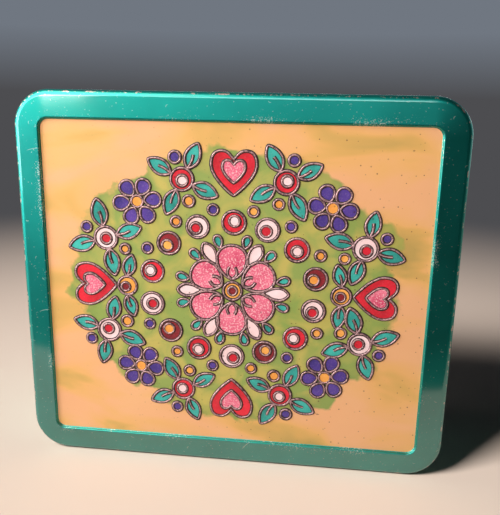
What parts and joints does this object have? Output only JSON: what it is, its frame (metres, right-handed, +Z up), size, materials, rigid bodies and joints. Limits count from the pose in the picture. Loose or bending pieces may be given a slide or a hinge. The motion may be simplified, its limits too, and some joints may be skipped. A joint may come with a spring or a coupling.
{
  "type": "tin box",
  "caption": "Shallow rectangular tinplate box with rounded corners, a lift-off slip lid with a sunk printed panel, a wrapped wall and a seamed base, for sweets or keepsakes.",
  "frame": {"origin": "on the surface that the tin stands on, under the middle of the closed tin", "axes": "+Z up as the tin stands on its lower side, the lid faces -Y, +X to the right as the lid is seen"},
  "size_m": [0.15, 0.05, 0.132],
  "materials": {
    "printed_lid": "glossy printed lacquer",
    "green_lacquer": "glossy translucent lacquer",
    "tinplate": "bare rolled tinplate"
  },
  "bodies": {
    "tin": {"body_wall": "green_lacquer", "base": "tinplate"},
    "lid": {"lid": "printed_lid"}
  },
  "joints": [
    {"name": "lid_slide", "type": "slide", "parent": "tin", "child": "lid", "axis": [0, -1, 0], "range_m": [0, 0.06]}
  ]
}
